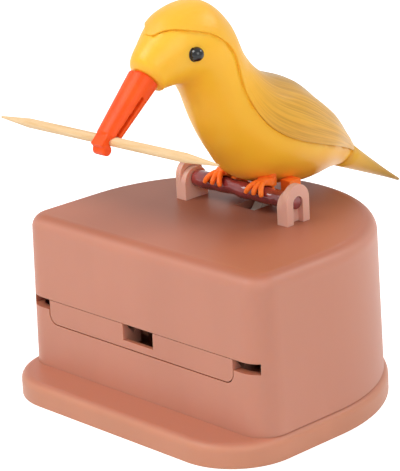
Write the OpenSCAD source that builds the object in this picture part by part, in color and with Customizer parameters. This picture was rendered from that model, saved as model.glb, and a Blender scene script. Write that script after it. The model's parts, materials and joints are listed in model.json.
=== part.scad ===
// Toothpick dispenser with a dipping bird. The bird sits on a branch that turns in two clips
// on a D-shaped box. Tipped forward, it swings its beak down to the slot in the front, and a
// lever, a push rod and a notched tray bring one toothpick out to meet it.
// X runs along the box's front, Y towards its round back and Z up. The origin is on the table,
// straight below the branch.

/* [Box] */
// Width of the box at its foot
box_w = 73; // [71:0.5:80]
// From the branch forward to the box's front face, at its foot
box_front = 32.2; // [32:0.1:32.8]
// From the branch back to the middle of the round back
box_back = 25.8; // [25:0.2:32]
// Height of the box's top above the table
box_top = 38.5; // [38.3:0.1:39]
// Wall thickness of the box
wall = 2; // [1.6:0.1:2.2]
// Inward lean of the box's walls, in degrees
draft = 1.2; // [0.8:0.1:1.6]
// Radius of the two front corners
corner_r = 6; // [5:0.5:8]
// Radius of the rounded top edge
top_edge_r = 3; // [2.5:0.1:3.4]

/* [Base] */
// Thickness of the base plate
base_t = 5; // [4.6:0.1:5.4]
// How far the base plate reaches forward of the box
apron = 8.8; // [7:0.2:12]
// How far the base plate stands out at the sides and the back
rim = 0.9; // [0.6:0.1:3]
// Radius of the base plate's front corners
base_corner_r = 14.4; // [10:0.2:18]
// Radius of the base plate's upper edge
base_edge_r = 1.8; // [1:0.1:2.2]
// Floor thickness inside the base plate
floor_t = 2; // [1.6:0.1:2.4]
// Height of the locating rim inside the box
spigot_h = 3.6; // [2.5:0.1:4.5]

/* [Slot and tray] */
// Length of the slot in the front wall
slot_w = 68.8; // [67:0.2:70]
// Height of the slot's upper edge above the table
slot_top = 20.6; // [20.4:0.1:20.8]
// Height of the slot beyond the tray's ends
slot_h = 2.3; // [2.2:0.1:2.6]
// Width of the tray's lip
lip_w = 55.8; // [50:0.2:58]
// Height of the tray's lip
lip_h = 5.3; // [5:0.1:5.5]
// Radius of the lip's lower corners
lip_corner_r = 2.2; // [1.5:0.1:2.5]
// Width of the notch that lets the beak through
notch_w = 9.2; // [8:0.1:11]
// Depth of the notch below the lip's upper edge
notch_h = 3.7; // [3.6:0.1:3.9]
// Diameter of a toothpick
pick_d = 2; // [1.9:0.05:2.1]
// Length of a toothpick
pick_l = 65; // [62:0.5:66]

/* [Branch and clips] */
// Height of the branch's axis above the table
perch_z = 42.9; // [42.8:0.1:43.2]
// Diameter of the branch
perch_d = 3.9; // [3.7:0.1:4]
// Clear length of the branch between the clips
perch_gap = 27.6; // [26:0.2:32]
// Diameter of the branch's end pins
pin_d = 2.8; // [2.5:0.1:3]
// Thickness of each clip along the branch
clip_t = 2.9; // [2.6:0.1:4]
// Width of each clip
clip_w = 6.7; // [6.4:0.1:7.4]
// From the branch's axis to a clip's crown
clip_crown = 4; // [3.9:0.1:4.6]
// How much lower the clip's inner layer is
clip_step = 1.5; // [0.5:0.1:1.7]

/* [Bird] */
// How far the hood stands proud of the face and breast
hood_proud = 0.5; // [0.3:0.05:0.8]
// Wall thickness of the hood
hood_t = 1.3; // [1:0.05:1.6]
// Wall thickness of the bird's body
shell_t = 1.8; // [1.4:0.1:2.2]
// Diameter of an eye
eye_d = 2.8; // [2.4:0.1:3.2]
// Depth of the beak where it leaves the face
beak_root_d = 6.2; // [5.8:0.1:6.5]
// Depth of the beak at its tip
beak_tip_d = 4.1; // [3.8:0.1:4.3]
// Width of the slit between the two halves of the beak
beak_slit = 0.7; // [0.5:0.05:1]
// Radius of the bird's toes
claw_r = 0.62; // [0.5:0.02:0.7]

/* [Mechanism] */
// From the branch's axis to the tip of the drive arm
arm_r = 14; // [13.8:0.1:14.2]
// Thickness of the drive arm
arm_t = 2.4; // [2:0.1:2.6]
// Thickness of the rocker along its pin
rocker_t = 5.6; // [5:0.2:6]
// Diameter of the rocker's pin
rocker_pin_d = 2.5; // [2.2:0.1:3]
// Thickness of the push rod
rod_t = 2; // [1.6:0.1:2.3]
// Width of the push rod
rod_w = 5.2; // [4.4:0.2:6]
// Diameter of the spring's wire
spring_wire = 0.5; // [0.4:0.05:0.6]
// Mean diameter of the spring's coil
spring_d = 3.8; // [3.2:0.1:4.4]
// Number of turns of the spring
spring_turns = 7; // [5:1:7]

/* [Hidden] */
$fn = 64;

// Clearances: beside a sliding piece, round a turning pin, and between pieces that only touch
slide_gap = 0.2;
pin_gap = 0.05;
seat_gap = 0.05;
part_gap = 0.3;

// The box: slope of its walls, centre of its round back, and its inner faces
lean = tan(draft);
half_w = box_w / 2;
back_y = box_back - half_w;
roof_t = wall;
roof_z = box_top - roof_t;
inner_r = corner_r - wall;
function front_face(z) = -box_front + lean * (z - base_t);

// The toothpick in the tray: its height, and its place behind the front wall at rest
pick_r = pick_d / 2;
pick_play = 0.1;
pick_z = slot_top - slot_h + pick_play + pick_r;
pick_rest_y = front_face(pick_z) + wall + pick_r + pick_play;

// The toothpick in the beak, from the branch's axis, and the beak's direction at rest
grip_y = -36.7;
grip_z = 19.2;
beak_dir = 223;
beak_l = 14.8;
grip_r = norm([grip_y, grip_z]);
grip_rest_a = atan2(grip_z, grip_y);

// The dip that brings the beak's toothpick down to the tray, and the tray's stroke
grip_drop = perch_z - pick_z;
grip_out_y = -sqrt(grip_r * grip_r - grip_drop * grip_drop);
dip = 360 + atan2(-grip_drop, grip_out_y) - grip_rest_a;
stroke = pick_rest_y - grip_out_y;

// The drive arm starts a little forward of straight down. The rocker's pivot lies on the
// middle direction of the arm's swing, so that both swing evenly to each side.
arm_rest_a = -97;
arm_mid_a = arm_rest_a + dip / 2;
arm_tip_r = 1.6;
arm_w = 2.4;
pivot_l = 2 * arm_r;
pivot_y = pivot_l * cos(arm_mid_a);
pivot_z = perch_z + pivot_l * sin(arm_mid_a);
rocker_half = atan2(arm_r * sin(dip / 2), pivot_l - arm_r * cos(dip / 2));
fork_l = norm([arm_r * sin(dip / 2), pivot_l - arm_r * cos(dip / 2)]);
foot_l = stroke / 2 / sin(rocker_half);
echo(dip = dip, stroke = stroke, rocker = 2 * rocker_half, pivot = [pivot_y, pivot_z]);
echo(grip_out = [grip_out_y, pick_z], foot_l = foot_l, pick_rest_y = pick_rest_y);

// ---------- shared shapes ----------

// A bar with round ends between two points of a drawing
module bar2d(p, q, w) {
    d = q - p;
    translate(p) rotate(atan2(d[1], d[0])) translate([0, -w / 2]) square([norm(d), w]);
    translate(p) circle(d = w);
    translate(q) circle(d = w);
}

// A drawing in Y and Z, given thickness along X and centred on X = 0
module along_x(w) rotate([90, 0, 90]) linear_extrude(w, center = true) children();

// A drawing in X and Z, pushed from one Y to another
module along_y(y0, y1) translate([0, y1, 0]) rotate([90, 0, 0]) linear_extrude(y1 - y0) children();

// Half of a wall's section, out to x = reach at z0, leaning inward, with a rounded upper edge
module wall_section(reach, z0, z1, edge, slope) {
    zr = z1 - edge;
    xr = reach - slope * (zr - z0);
    polygon([[0, z0], [reach, z0], [xr, zr], [0, zr]]);
    translate([0, zr]) square([xr - edge, edge]);
    intersection() {
        translate([xr - edge, zr]) circle(edge);
        translate([xr - edge, zr]) square(edge);
    }
}

// The D-shaped solid of box, cavity and base: straight sides, round back, two front corners
module d_solid(half, front, r, z0, z1, edge, slope) {
    translate([0, back_y, 0]) rotate_extrude(angle = 180)
        wall_section(half, z0, z1, edge, slope);
    for (s = [0, 1]) mirror([s, 0, 0]) {
        translate([0, back_y, 0]) rotate([90, 0, 0]) linear_extrude(front - r + back_y)
            wall_section(half, z0, z1, edge, slope);
        translate([half - r, r - front, 0]) rotate([0, 0, 270]) rotate_extrude(angle = 90)
            wall_section(r, z0, z1, edge, slope);
        translate([0, r - front, 0]) rotate([90, 0, 90]) linear_extrude(half - r)
            mirror([1, 0]) wall_section(r, z0, z1, edge, slope);
    }
}

// The same D as a flat outline
module d_outline(half, front, r) {
    intersection() {
        translate([0, back_y]) circle(half);
        translate([-half, back_y]) square([2 * half, half]);
    }
    translate([-half, r - front]) square([2 * half, front - r + back_y]);
    translate([r - half, -front]) square([2 * (half - r), r]);
    for (s = [-1, 1]) translate([s * (half - r), r - front]) circle(r);
}

// A closed skin over rings of points, all with the same number of points
module skin(rings) {
    n = len(rings[0]);
    m = len(rings);
    polyhedron(
        points = [for (ring = rings) each ring],
        faces = concat(
            [[for (j = [0 : n - 1]) j]],
            [for (i = [0 : m - 2]) for (j = [0 : n - 1]) each
                [[i * n + j, (i + 1) * n + j, (i + 1) * n + (j + 1) % n],
                 [i * n + j, (i + 1) * n + (j + 1) % n, i * n + (j + 1) % n]]],
            [[for (j = [n - 1 : -1 : 0]) (m - 1) * n + j]]));
}

function unit(v) = v / norm(v);

// A tube along a path, with a radius for each point. Each ref is square to the path there.
function tube_rings(path, refs, radii, sides) = [for (i = [0 : len(path) - 1])
    let (a = path[max(i - 1, 0)], b = path[min(i + 1, len(path) - 1)],
         t = unit(b - a), side = unit(cross(t, refs[i])), up = cross(t, side))
    [for (k = [0 : sides - 1]) let (w = 360 * k / sides)
        path[i] + radii[i] * (cos(w) * side + sin(w) * up)]];

// ---------- base ----------

module base_plate() color("#DB9A7B") {
    inset = wall + slide_gap;
    difference() {
        union() {
            d_solid(half_w + rim, box_front + apron, base_corner_r, 0, base_t, base_edge_r, 0);
            translate([0, 0, base_t - 1]) linear_extrude(spigot_h + 1)
                d_outline(half_w - inset, box_front - inset, inner_r - slide_gap);
        }
        translate([0, 0, floor_t]) linear_extrude(base_t + spigot_h)
            d_outline(half_w - inset - wall, box_front - inset - wall, inner_r - 1);
        // Notch in the rim for the push rod
        translate([-rod_w / 2 - slide_gap, -box_front, rod_z])
            cube([rod_w + 2 * slide_gap, box_front + rod_front, base_t + spigot_h]);
    }
    // Rail under the push rod
    translate([-rod_w / 4, -box_front + inset + wall / 2, floor_t])
        cube([rod_w / 2, box_front - inset - wall / 2 + rod_back, rod_z - floor_t]);
}

// Levels of the tray, the ramp under it and the push rod
lip_z = slot_top - 0.12;
tray_z = slot_top - lip_h;
shelf_z = pick_z - 0.2;
tray_shelf_t = 1.1;
toe_r = 1.2;
toe_room = 0.5;
rod_top = pivot_z - foot_l - toe_r - toe_room;
rod_z = rod_top - rod_t;
fork_wall = 1.2;
fork_top = 14;
tab_w = 4.4;
tab_t = 1.6;
tab_y = pick_rest_y + 6.9;
fork_half_y = tab_t / 2 + slide_gap;
rod_front = tab_y - fork_half_y - fork_wall;
toe_y = pivot_y + foot_l * sin(rocker_half);
rod_back = toe_y + toe_r + slide_gap + fork_wall;
ramp_front = pick_rest_y + 2.8;
ramp_foot = pick_rest_y + 8.4;
ramp_back = -9;
ramp_t = 1.4;
ramp_top_z = shelf_z - tray_shelf_t - part_gap;
ramp_back_z = ramp_top_z + (ramp_back - ramp_foot) * tan(40);
// The ramp reaches close to the box's walls, and its foot stands inside the base's rim
ramp_room = 0.5;
ramp_half = half_w - wall - lean * (ramp_back_z - base_t) - ramp_room;
ramp_low = half_w - 2 * wall - slide_gap - part_gap;
ramp_low_z = base_t + spigot_h + part_gap;
shelf_half = lip_w / 2 - 7.9;
rib_x = [0.36 * ramp_half, 0.78 * ramp_half];
tab_room = 1.2;
spring_l = 9;
spring_z = rod_top + spring_d / 2 + 0.6;
lug_y = ramp_back - spring_l;
lug_t = 1.4;

// Floor of the toothpick store: a shelf under the tray, a slope, its back wall and ribs
module toothpick_ramp() color("#E2A98C") difference() {
    union() {
        translate([-shelf_half, ramp_front, ramp_top_z - ramp_t])
            cube([2 * shelf_half, ramp_foot - ramp_front, ramp_t]);
        along_x(2 * ramp_half) polygon([
            [ramp_foot, ramp_top_z - ramp_t], [ramp_foot, ramp_top_z],
            [ramp_back, ramp_back_z], [ramp_back + ramp_t, ramp_back_z],
            [ramp_back + ramp_t, ramp_low_z], [ramp_back, ramp_low_z],
            [ramp_back, ramp_back_z - 2 * ramp_t]]);
        translate([-ramp_low, ramp_back, floor_t])
            cube([2 * ramp_low, ramp_t, ramp_low_z - floor_t]);
        for (x = rib_x, s = [-1, 1]) rib(s * x);
        translate([-rib_x[0], ramp_foot - ramp_t, floor_t])
            cube([2 * rib_x[0], ramp_t, ramp_top_z - floor_t]);
    }
    // Ways for the tray's tab, for the fork and the lug, and for the rod behind them
    translate([-tab_w / 2 - tab_room, ramp_front - 1, rod_z])
        cube([tab_w + 2 * tab_room, ramp_foot - ramp_front + 1.5, ramp_top_z]);
    translate([-tab_w / 2 - tab_room, ramp_front - 1, floor_t - 1])
        cube([tab_w + 2 * tab_room, ramp_foot - ramp_front + 2, fork_top + 1.6 - floor_t]);
    translate([-rod_w / 2 - slide_gap, ramp_foot, floor_t - 1])
        cube([rod_w + 2 * slide_gap, ramp_back - ramp_foot + 4, rod_top + slide_gap - floor_t + 1]);
}

module rib(x) {
    y0 = abs(x) < shelf_half ? ramp_front + 1 : ramp_foot;
    translate([x - 0.8, 0, 0]) rotate([90, 0, 90]) linear_extrude(1.6) polygon([
        [y0, floor_t], [y0, ramp_top_z - ramp_t / 2], [ramp_foot, ramp_top_z - ramp_t / 2],
        [ramp_back + 0.5, ramp_back_z - ramp_t], [ramp_back + 0.5, floor_t]]);
}

module push_rod() color("#E9E4DA") {
    translate([-rod_w / 2, rod_front, rod_z]) cube([rod_w, rod_back - rod_front, rod_t]);
    // Front fork for the tray's tab and rear fork for the rocker's toe
    rod_fork(tab_y, fork_half_y, fork_top);
    rod_fork(toe_y, toe_r + slide_gap, pivot_z - foot_l + 1.4);
    // Lug for the spring
    translate([-1.2, lug_y - lug_t, rod_z]) cube([2.4, lug_t, spring_z + 1.2 - rod_z]);
}

module rod_fork(y, half, top) for (s = [0, 1]) translate([0, y, 0]) mirror([0, s, 0])
    translate([-rod_w / 2, half, rod_z]) cube([rod_w, fork_wall, top - rod_z]);

// The coil spring between the rod's lug and the ramp's back wall
coil_steps = 8;
coil_n = spring_turns * coil_steps;
coil_end = 0.8;
coil_path = concat(
    [[spring_d / 2, lug_y + seat_gap, spring_z]],
    [for (i = [0 : coil_n]) let (a = 360 * i / coil_steps)
        [spring_d / 2 * cos(a), lug_y + coil_end + (spring_l - 2 * coil_end) * i / coil_n,
         spring_z + spring_d / 2 * sin(a)]],
    [[spring_d / 2, ramp_back - seat_gap, spring_z]]);
echo(spring_gap = min([for (i = [1 : coil_n]) for (j = [i + coil_steps / 2 : 1 : coil_n + 1])
    norm(coil_path[i] - coil_path[j])]) - spring_wire);

module return_spring() color("#B9BCC0") {
    refs = [for (i = [0 : coil_n + 2]) let (a = 360 * min(max(i - 1, 0), coil_n) / coil_steps)
        [cos(a), 0, sin(a)]];
    skin(tube_rings(coil_path, refs, [for (p = coil_path) spring_wire / 2], 6));
}

// ---------- box ----------

hole_fit = 0.1;
leg_w = (clip_w - pin_d - 2 * pin_gap) / 2;
boss_x = 9.5;
boss_y = [-2.8, 16];
boss_r = 2.3;
flange_z = roof_z - 3;
flange_t = 1.6;
screw_r = 1;
screw_l = 5;
window_y0 = 0.6;
window_y1 = 12.6;
window_w = 6;
guide_x = lip_w / 2;
guide_t = 1.4;
hopper_y = ramp_back + 1.1;

module housing() color("#C98A73") {
    difference() {
        union() {
            difference() {
                d_solid(half_w, box_front, corner_r, base_t, box_top, top_edge_r, lean);
                difference() {
                    d_solid(half_w - wall + lean, box_front - wall + lean, inner_r + lean,
                            base_t - 1, roof_z, top_edge_r - wall, lean);
                    hopper_wall();
                    tray_guides();
                }
            }
            for (x = [-1, 1], y = boss_y) translate([x * boss_x, y, flange_z])
                cylinder(r = boss_r, h = roof_z - flange_z + 0.5);
        }
        slot_cut();
        // Window for the drive arm, sockets for the clips, pilot holes for the screws
        translate([-window_w / 2, window_y0, roof_z - 1])
            cube([window_w, window_y1 - window_y0, roof_t + 2]);
        for (s = [-1, 1]) clip_holes(s);
        for (x = [-1, 1], y = boss_y) translate([x * boss_x, y, flange_z - 1])
            cylinder(r = screw_r + pin_gap / 2, h = screw_l + 0.6 - flange_t + 1);
    }
}

// The slot for the toothpick's ends, and the deeper opening for the lip
module slot_cut() {
    y1 = pick_rest_y + pick_r;
    translate([-slot_w / 2, -half_w, slot_top - slot_h])
        cube([slot_w, half_w + y1, slot_h]);
    along_y(-half_w, front_face(base_t) + wall + 0.6)
        lip_outline(lip_w / 2 + part_gap, tray_z - slide_gap, slot_top, lip_corner_r + slide_gap);
}

// A plate with rounded lower corners
module lip_outline(half, z0, z1, r) {
    translate([-half, z0 + r]) square([2 * half, z1 - z0 - r]);
    translate([-half + r, z0]) square([2 * half - 2 * r, z1 - z0]);
    for (s = [-1, 1]) translate([s * (half - r), z0 + r]) circle(r);
}

// Wall between the toothpick store and the mechanism
module hopper_wall() translate([-half_w, hopper_y, ramp_back_z + 0.6])
    cube([box_w, 1.4, roof_z]);

// Ledges and cheeks that carry the tray behind the front wall
module tray_guides() for (s = [0, 1]) mirror([s, 0, 0]) {
    translate([guide_x - 5, -box_front, tray_z - slide_gap - guide_t])
        cube([5 + slide_gap + guide_t, box_front + ramp_foot - part_gap, guide_t]);
    translate([guide_x + slide_gap, -box_front, tray_z - slide_gap - guide_t])
        cube([guide_t, box_front + ramp_foot - part_gap, slot_top - slot_h - tray_z]);
}

// ---------- clips ----------

module clip_holes(s) for (y = [-1, 1])
    translate([s * (perch_gap / 2 + clip_t / 2), y * (clip_w - leg_w) / 2, roof_z + roof_t / 2])
        cube([clip_t + 2 * hole_fit, leg_w + 2 * hole_fit, roof_t + 1], center = true);

// An inverted U round the branch's end pin, with a lower inner layer that holds the bearing
module perch_clip(s) {
    outer_t = clip_t * 0.5;
    barb = 0.5;
    x_in = perch_gap / 2;
    mirror([s < 0 ? 1 : 0, 0, 0]) {
        difference() {
            union() {
                clip_layer(x_in + clip_t - outer_t, outer_t, clip_crown);
                clip_layer(x_in, clip_t - outer_t + 0.01, clip_crown - clip_step);
            }
            // Slot, open below, through the outer layer, and bearing through both
            translate([x_in + clip_t - outer_t, -pin_d / 2 - pin_gap, box_top - 1])
                cube([outer_t + 1, pin_d + 2 * pin_gap, perch_z - box_top + 1]);
            translate([x_in - 1, 0, perch_z]) rotate([0, 90, 0])
                cylinder(r = pin_d / 2 + pin_gap, h = clip_t + 2);
        }
        // Legs through the box's top, each with a barb below it
        for (y = [-1, 1]) {
            translate([x_in, y * (clip_w - leg_w) / 2 - leg_w / 2, roof_z - 1.4])
                cube([clip_t, leg_w, box_top - roof_z + 1.5]);
            translate([x_in, y * (clip_w / 2 + barb / 2 - 0.3) - (barb + 0.6) / 2, roof_z - 1.4])
                cube([clip_t, barb + 0.6, 1.4 - seat_gap]);
        }
    }
}

// One layer of a clip: a post with a round crown
module clip_layer(x, t, crown) {
    r = clip_w / 2;
    translate([x, 0, perch_z + crown - r]) rotate([0, 90, 0]) cylinder(r = r, h = t);
    translate([x, -clip_w / 2, box_top]) cube([t, clip_w, perch_z + crown - r - box_top]);
}

module perch_clip_left() color("#D8A08C") perch_clip(-1);
module perch_clip_right() color("#D8A08C") perch_clip(1);

// ---------- mechanism ----------

cheek_in = rocker_t / 2 + 0.4;
cheek_t = 1.6;

// Bracket under the roof: a screwed flange with a window, and two cheeks for the rocker
module mechanism_frame() color("#E9E4DA") difference() {
    union() {
        translate([-boss_x - 3, boss_y[0] - 3, flange_z - flange_t])
            cube([2 * boss_x + 6, boss_y[1] - boss_y[0] + 6, flange_t]);
        for (s = [-1, 1]) translate([s * (cheek_in + cheek_t / 2), 0, 0]) along_x(cheek_t) {
            polygon([[pivot_y - 3, pivot_z], [pivot_y - 6, flange_z - flange_t / 2],
                     [pivot_y + 7, flange_z - flange_t / 2], [pivot_y + 3, pivot_z]]);
            translate([pivot_y, pivot_z]) circle(3);
        }
    }
    translate([-cheek_in, boss_y[0] + 1.5, flange_z - flange_t - 1])
        cube([2 * cheek_in, pivot_y + 6 - boss_y[0] - 1.5, flange_t + 2]);
    for (x = [-1, 1], y = boss_y) translate([x * boss_x, y, flange_z - flange_t - 1])
        cylinder(r = screw_r + 0.15, h = flange_t + 2);
    translate([-10, pivot_y, pivot_z]) rotate([0, 90, 0])
        cylinder(r = rocker_pin_d / 2 + pin_gap / 2, h = 20);
}

module frame_screws() color("#8E9196") for (x = [-1, 1], y = boss_y)
    translate([x * boss_x, y, flange_z - flange_t]) {
        cylinder(r = screw_r, h = screw_l);
        difference() {
            translate([0, 0, -1.3]) cylinder(r1 = 1.6, r2 = 2, h = 1.3);
            translate([-1.4, -0.25, -1.4]) cube([2.8, 0.5, 0.7]);
            translate([-0.25, -1.4, -1.4]) cube([0.5, 2.8, 0.7]);
        }
    }

module rocker_pin() color("#B9BCC0") translate([-cheek_in - cheek_t - 0.3, pivot_y, pivot_z])
    rotate([0, 90, 0]) cylinder(d = rocker_pin_d, h = 2 * (cheek_in + cheek_t + 0.3));

// A two-armed lever: a cleft fork round the drive arm's cross pin, and a toe in the push rod
module rocker() color("#D9742F") {
    // The fork lets the pin wander a little, because lever and arm swing about two axes
    fork_half = arm_tip_r + 0.75;
    prong = 1.6;
    hub_r = rocker_pin_d / 2 + 1.7;
    up_a = arm_mid_a + 180 + rocker_half;
    toe_a = -90 + rocker_half;
    difference() {
        along_x(rocker_t) translate([pivot_y, pivot_z]) difference() {
            union() {
                circle(hub_r);
                rotate(up_a) {
                    for (s = [-1, 1]) translate([7, s * (fork_half + prong / 2) - prong / 2])
                        square([fork_l + 0.6 - 7, prong]);
                    translate([6, 0]) circle(fork_half + prong);
                    translate([0, -2]) square([6, 4]);
                }
                rotate(toe_a) {
                    translate([0, -0.7]) square([foot_l, 1.4]);
                    translate([foot_l, 0]) circle(toe_r);
                }
            }
            circle(d = rocker_pin_d + 2 * pin_gap);
            rotate(up_a) translate([8.2, -fork_half]) square([fork_l, 2 * fork_half]);
        }
        // The cleft that the arm swings in
        along_x(arm_w + 2 * part_gap) translate([pivot_y, pivot_z]) rotate(up_a)
            translate([10, -fork_half - prong - 1]) square([fork_l, 2 * (fork_half + prong + 1)]);
    }
}

// ---------- tray ----------

// The lip's inner face leans forward, a little clear of the toothpick that leaves over it
lead = 50;
lead_off = pick_r + 0.15;
function lead_y(z) = pick_rest_y - (lead_off + (z - pick_z) * cos(lead)) / sin(lead);
// The groove's other face rises to the shelf, so that the groove is a plain V
rise = 48;
rise_off = pick_r + 0.1;
function rise_y(z) = pick_rest_y + (rise_off + (z - pick_z) * cos(rise)) / sin(rise);
groove_z = pick_z - (lead_off / sin(lead) + rise_off / sin(rise)) / (1 / tan(lead) + 1 / tan(rise));

module tray() color("#D09A82") {
    front = front_face(pick_z) + 0.02;
    rear = ramp_foot - part_gap;
    bar_back = pick_rest_y + 1.9;
    difference() {
        intersection() {
            union() {
                along_x(lip_w) polygon([
                    [front, tray_z], [front, lip_z], [lead_y(lip_z), lip_z],
                    [lead_y(groove_z), groove_z], [rise_y(shelf_z), shelf_z], [rear - 1, shelf_z],
                    [rear, shelf_z - tray_shelf_t + 0.3], [rear, shelf_z - tray_shelf_t],
                    [bar_back, shelf_z - tray_shelf_t], [bar_back, tray_z]]);
                // Shoes on the guides
                for (s = [-1, 1]) translate([s * (lip_w / 2 - 2.6) - 2, bar_back - 1, tray_z])
                    cube([4, rear - bar_back, shelf_z - tray_shelf_t / 2 - tray_z]);
            }
            along_y(front - 1, rear + 1) lip_outline(lip_w / 2, tray_z, slot_top, lip_corner_r);
        }
        // The notch for the beak, with a thin strip of lip left below it
        translate([-notch_w / 2, front - 1, slot_top - notch_h]) cube([notch_w, 3, notch_h + 1]);
        translate([-notch_w / 2, front + 1, tray_z - 1])
            cube([notch_w, pick_rest_y + 3.6 - front - 1, lip_h + 2]);
    }
    // The tab for the push rod
    translate([-tab_w / 2, tab_y - tab_t / 2, rod_top + 0.6])
        cube([tab_w, tab_t, shelf_z - tray_shelf_t / 2 - rod_top - 0.6]);
}

// ---------- branch and bird ----------
// Everything here is drawn from the branch's axis

module at_perch() translate([0, 0, perch_z]) children();

// Knots of the branch: place along it and how far each swells or thins it
knots = [[-10.5, 0.12], [-3.2, -0.18], [1.2, 0.1], [9.8, -0.12]];
function swell(x) = [for (k = knots) k[1] * exp(-pow((x - k[0]) / 1.6, 2))] * [1, 1, 1, 1];

module perch() color("#6E2B2B") at_perch() {
    r = perch_d / 2;
    half = perch_gap / 2 - 0.15;
    n = 36;
    rotate([0, 90, 0]) rotate_extrude() polygon(concat(
        [[0, -half]], [for (i = [0 : n]) let (x = -half + 2 * half * i / n) [r - 0.12 + swell(x), x]],
        [[0, half]]));
    rotate([0, 90, 0]) cylinder(d = pin_d, h = perch_gap + 2 * clip_t - 0.6, center = true);
}

// Sections of the bird, from the beak's root to the tail's root. Each has the place of its
// upper and lower edge in Y and Z, its half width, and how far round the hood reaches.
sections = [
    [-27.6, 31.9, -23.0, 26.7, 3.5, 0],
    [-27.3, 34.3, -22.8, 26.5, 4.4, 0],
    [-24.7, 37.3, -22.6, 26.7, 5.1, 5],
    [-19.3, 41.8, -18.5, 26.9, 7.0, 52],
    [-11.0, 42.8, -15.7, 25.9, 8.0, 73],
    [-4.9, 38.3, -13.3, 21.9, 7.8, 73],
    [-0.9, 30.7, -10.4, 15.0, 8.1, 86],
    [4.4, 25.2, -5.9, 8.1, 9.6, 93],
    [14.1, 21.0, -0.6, 2.5, 11.0, 93],
    [23.7, 13.1, 12.3, -1.3, 9.3, 83],
    [30.8, 5.7, 23.9, -1.2, 4.8, 75],
    [33.5, 2.6, 28.8, -1.5, 3.0, 68]];
last = len(sections) - 1;

// A smooth curve through the sections: t counts sections
function at(i) = sections[min(max(i, 0), last)];
function smooth(t) = let (i = min(floor(t), last - 1), u = t - i,
        a = i > 0 ? at(i - 1) : 2 * at(0) - at(1), b = at(i), c = at(i + 1),
        d = i + 2 <= last ? at(i + 2) : 2 * at(last) - at(last - 1))
    ((2 * b) + (c - a) * u + (2 * a - 5 * b + 4 * c - d) * u * u
     + (3 * b - a - 3 * c + d) * u * u * u) / 2;

// A point of the bird's skin: w degrees round section t, moved outward by grow
function skin_point(t, w, grow) = let (s = smooth(t),
        cy = (s[0] + s[2]) / 2, cz = (s[1] + s[3]) / 2,
        hy = (s[0] - s[2]) / 2, hz = (s[1] - s[3]) / 2, h = norm([hy, hz]),
        k = (h + grow) / h)
    [(s[4] + grow) * sin(w), cy + hy * k * cos(w), cz + hz * k * cos(w)];

// Whole skin of the bird between two sections, for the body and its hollow
module bird_skin(t0, t1, grow, per, sides) {
    n = round((t1 - t0) * per);
    skin([for (i = [0 : n]) let (t = t0 + (t1 - t0) * i / n)
        [for (k = [0 : sides - 1]) skin_point(t, 360 * k / sides, grow)]]);
}

hood_t0 = 2.15;
hood_t1 = 10.95;
// Half angle of the hood at t: the brow is drawn round, the rest follows the sections
function hood_half(t) = min(smooth(t)[5], 62 * sqrt(max(t - hood_t0, 0) + 0.012));

// The hood: a band over the back of each section, from grow in to grow out
module hood_band(inner, outer, widen, per, arc) {
    n = round((hood_t1 - hood_t0) * per);
    skin([for (i = [0 : n]) let (t = hood_t0 + (hood_t1 - hood_t0) * i / n,
            h = hood_half(t) + widen)
        concat([for (k = [0 : arc]) skin_point(t, -h + 2 * h * k / arc, outer)],
               [for (k = [arc : -1 : 0]) skin_point(t, -h + 2 * h * k / arc, inner)])]);
}

// Seats of the beak and the eyes in the head
head_a = [0, cos(beak_dir), sin(beak_dir)];
grip = [0, grip_y, grip_z];
beak_n = [0, -sin(beak_dir), cos(beak_dir)];
beak_shift = 0.45;
beak_root = grip - beak_l * head_a - beak_shift * beak_n;
eye_t = 3.17;
eye_w = 93;
eye_at = skin_point(eye_t, eye_w, 0);
plug_r = 2.2;
plug_l = 4;

module body_shell() color("#F5B63C") at_perch() difference() {
    bird_skin(0, last, 0, 3, 20);
    bird_skin(1, last - 1, -shell_t, 2, 12);
    hood_band(hood_proud - hood_t - seat_gap, 3, 1.2, 3, 10);
    // Sockets of the eyes, the beak, the feet and the tail, and room for the branch
    for (s = [-1, 1]) translate([s * (eye_at[0] - 1.5), eye_at[1], eye_at[2]])
        rotate([0, s * 90, 0]) cylinder(d = eye_d + 2 * seat_gap, h = 4);
    beak_axis() translate([0, 0, -plug_l]) cylinder(r = plug_r + seat_gap, h = plug_l + 1);
    rotate([0, 90, 0]) cylinder(d = perch_d + 2 * part_gap, h = perch_gap, center = true);
    for (s = [-1, 1]) translate([s * foot_x, leg_y, 0])
        cylinder(r = leg_r + seat_gap, h = leg_top + 0.3);
    tail_axis() translate([0, 0, -3]) cylinder(r = 1.2 + seat_gap, h = 4);
    foot_blocks(seat_gap);
    for (s = [-1, 1]) translate([s * foot_x, 0, 0]) foot_room(2 * seat_gap);
}

module back_shell() color("#E3A93A") at_perch()
    hood_band(hood_proud - hood_t, hood_proud, 0, 3, 10);

// ---------- beak, eyes, tail ----------

// Along the beak: Z runs from the root to the tip, X across, and Y towards the throat
module beak_axis() translate(beak_root) rotate([beak_dir - 90, 0, 0]) mirror([0, 1, 0])
    children();

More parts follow.
